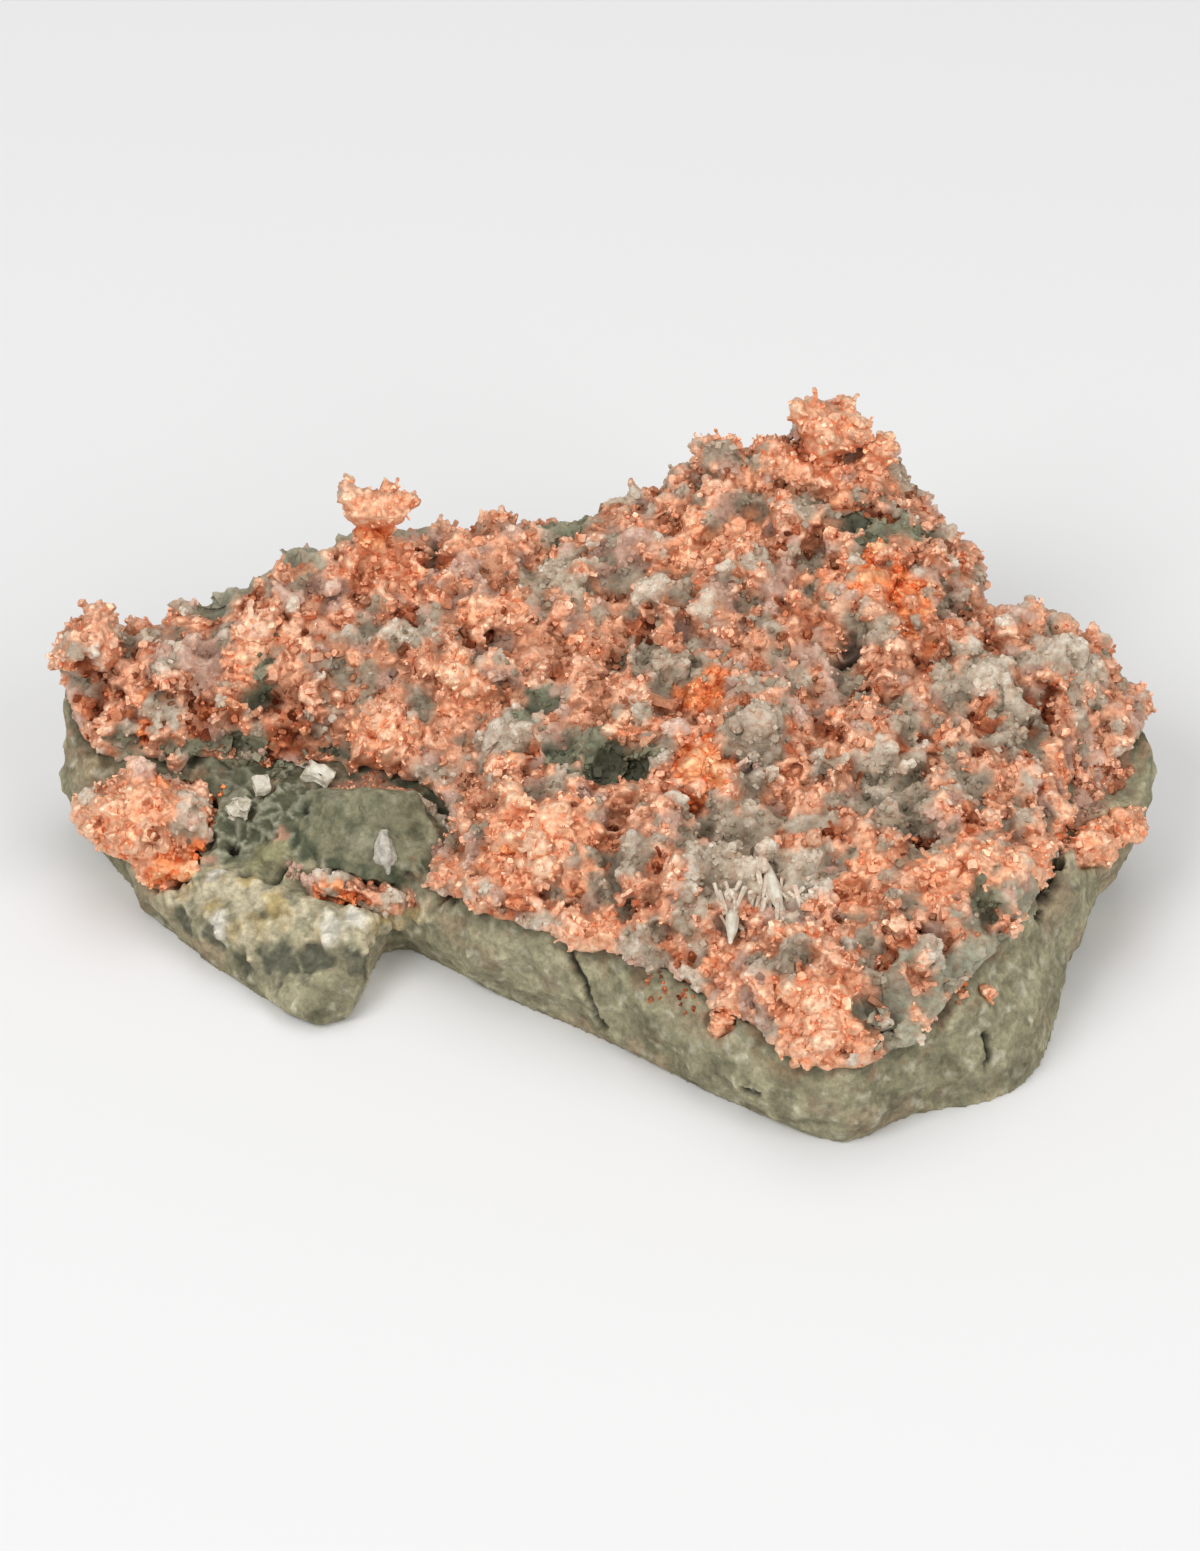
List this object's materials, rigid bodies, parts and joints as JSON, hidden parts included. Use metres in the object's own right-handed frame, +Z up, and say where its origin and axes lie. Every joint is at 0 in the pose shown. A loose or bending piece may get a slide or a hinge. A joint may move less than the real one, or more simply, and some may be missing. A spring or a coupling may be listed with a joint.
{
  "type": "native copper mineral specimen on rock matrix",
  "caption": "Hackly native copper crust with a small upright tuft and peaks, grown over a wedge-shaped slab of grey-green altered rock with a flat resting face.",
  "frame": {"origin": "middle of the footprint's bounding box, on the plane that the slab rests on", "axes": "+Z up from the flat foot, +X along the slab's length towards its right corner, +Y from the front tip towards the back"},
  "size_m": [0.1122, 0.075, 0.0372],
  "materials": {
    "matrix_rock": "rough, dull, grey-green altered rock with fine pits and cracks",
    "native_copper": "bright hackly copper metal with darker oxide in its hollows and grey mineral grains through it",
    "calcite": "pale, slightly glossy calcite"
  },
  "bodies": {
    "root": {"matrix_rock": "matrix_rock", "copper_crust": "native_copper", "copper_nodule": "native_copper", "copper_vein": "native_copper", "copper_bead": "native_copper", "copper_spur": "native_copper", "copper_speck": "native_copper", "calcite_block_left": "calcite", "calcite_block_middle": "calcite", "calcite_block_right": "calcite", "calcite_blade_left": "calcite", "calcite_blade_right": "calcite", "lens_crystal": "calcite"}
  },
  "joints": []
}
